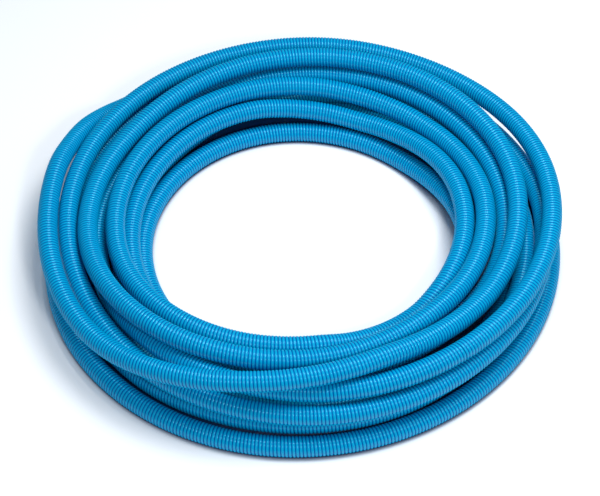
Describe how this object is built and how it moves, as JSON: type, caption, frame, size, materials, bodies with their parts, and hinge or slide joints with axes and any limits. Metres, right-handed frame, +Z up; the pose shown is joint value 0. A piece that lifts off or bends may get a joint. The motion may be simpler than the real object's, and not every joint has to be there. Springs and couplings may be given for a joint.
{
  "type": "pool vacuum hose",
  "caption": "Long spiral-ribbed blue suction hose thrown down in a loose coil, with a plain cuff on one end and a swivelling cuff on the other.",
  "frame": {"origin": "on the ground, under the middle of the coil and its cuffs", "axes": "+Z up, +X to the right and +Y away from the viewer, seen as in the picture; the cuffs lie at the +Y side"},
  "size_m": [0.9859, 1.0109, 0.1661],
  "materials": {
    "hose_plastic": "satin",
    "cuff_plastic": "satin",
    "ring_plastic": "satin",
    "seal_rubber": "matte"
  },
  "bodies": {
    "hose": {"hose_coil": "hose_plastic", "hose_tail_swivel_end": "hose_plastic", "hose_tail_fixed_end": "hose_plastic", "fixed_cuff": "cuff_plastic", "swivel_hub": "cuff_plastic"},
    "swivel": {"swivel_cuff": "cuff_plastic", "retaining_ring": "ring_plastic", "swivel_seal": "seal_rubber"}
  },
  "joints": [
    {"name": "swivel_cuff_spin", "type": "hinge", "parent": "hose", "child": "swivel", "pos_m": [0.14372, 0.47132, 0.02565], "axis": [-0.866, 0.5, 0], "continuous": true}
  ]
}
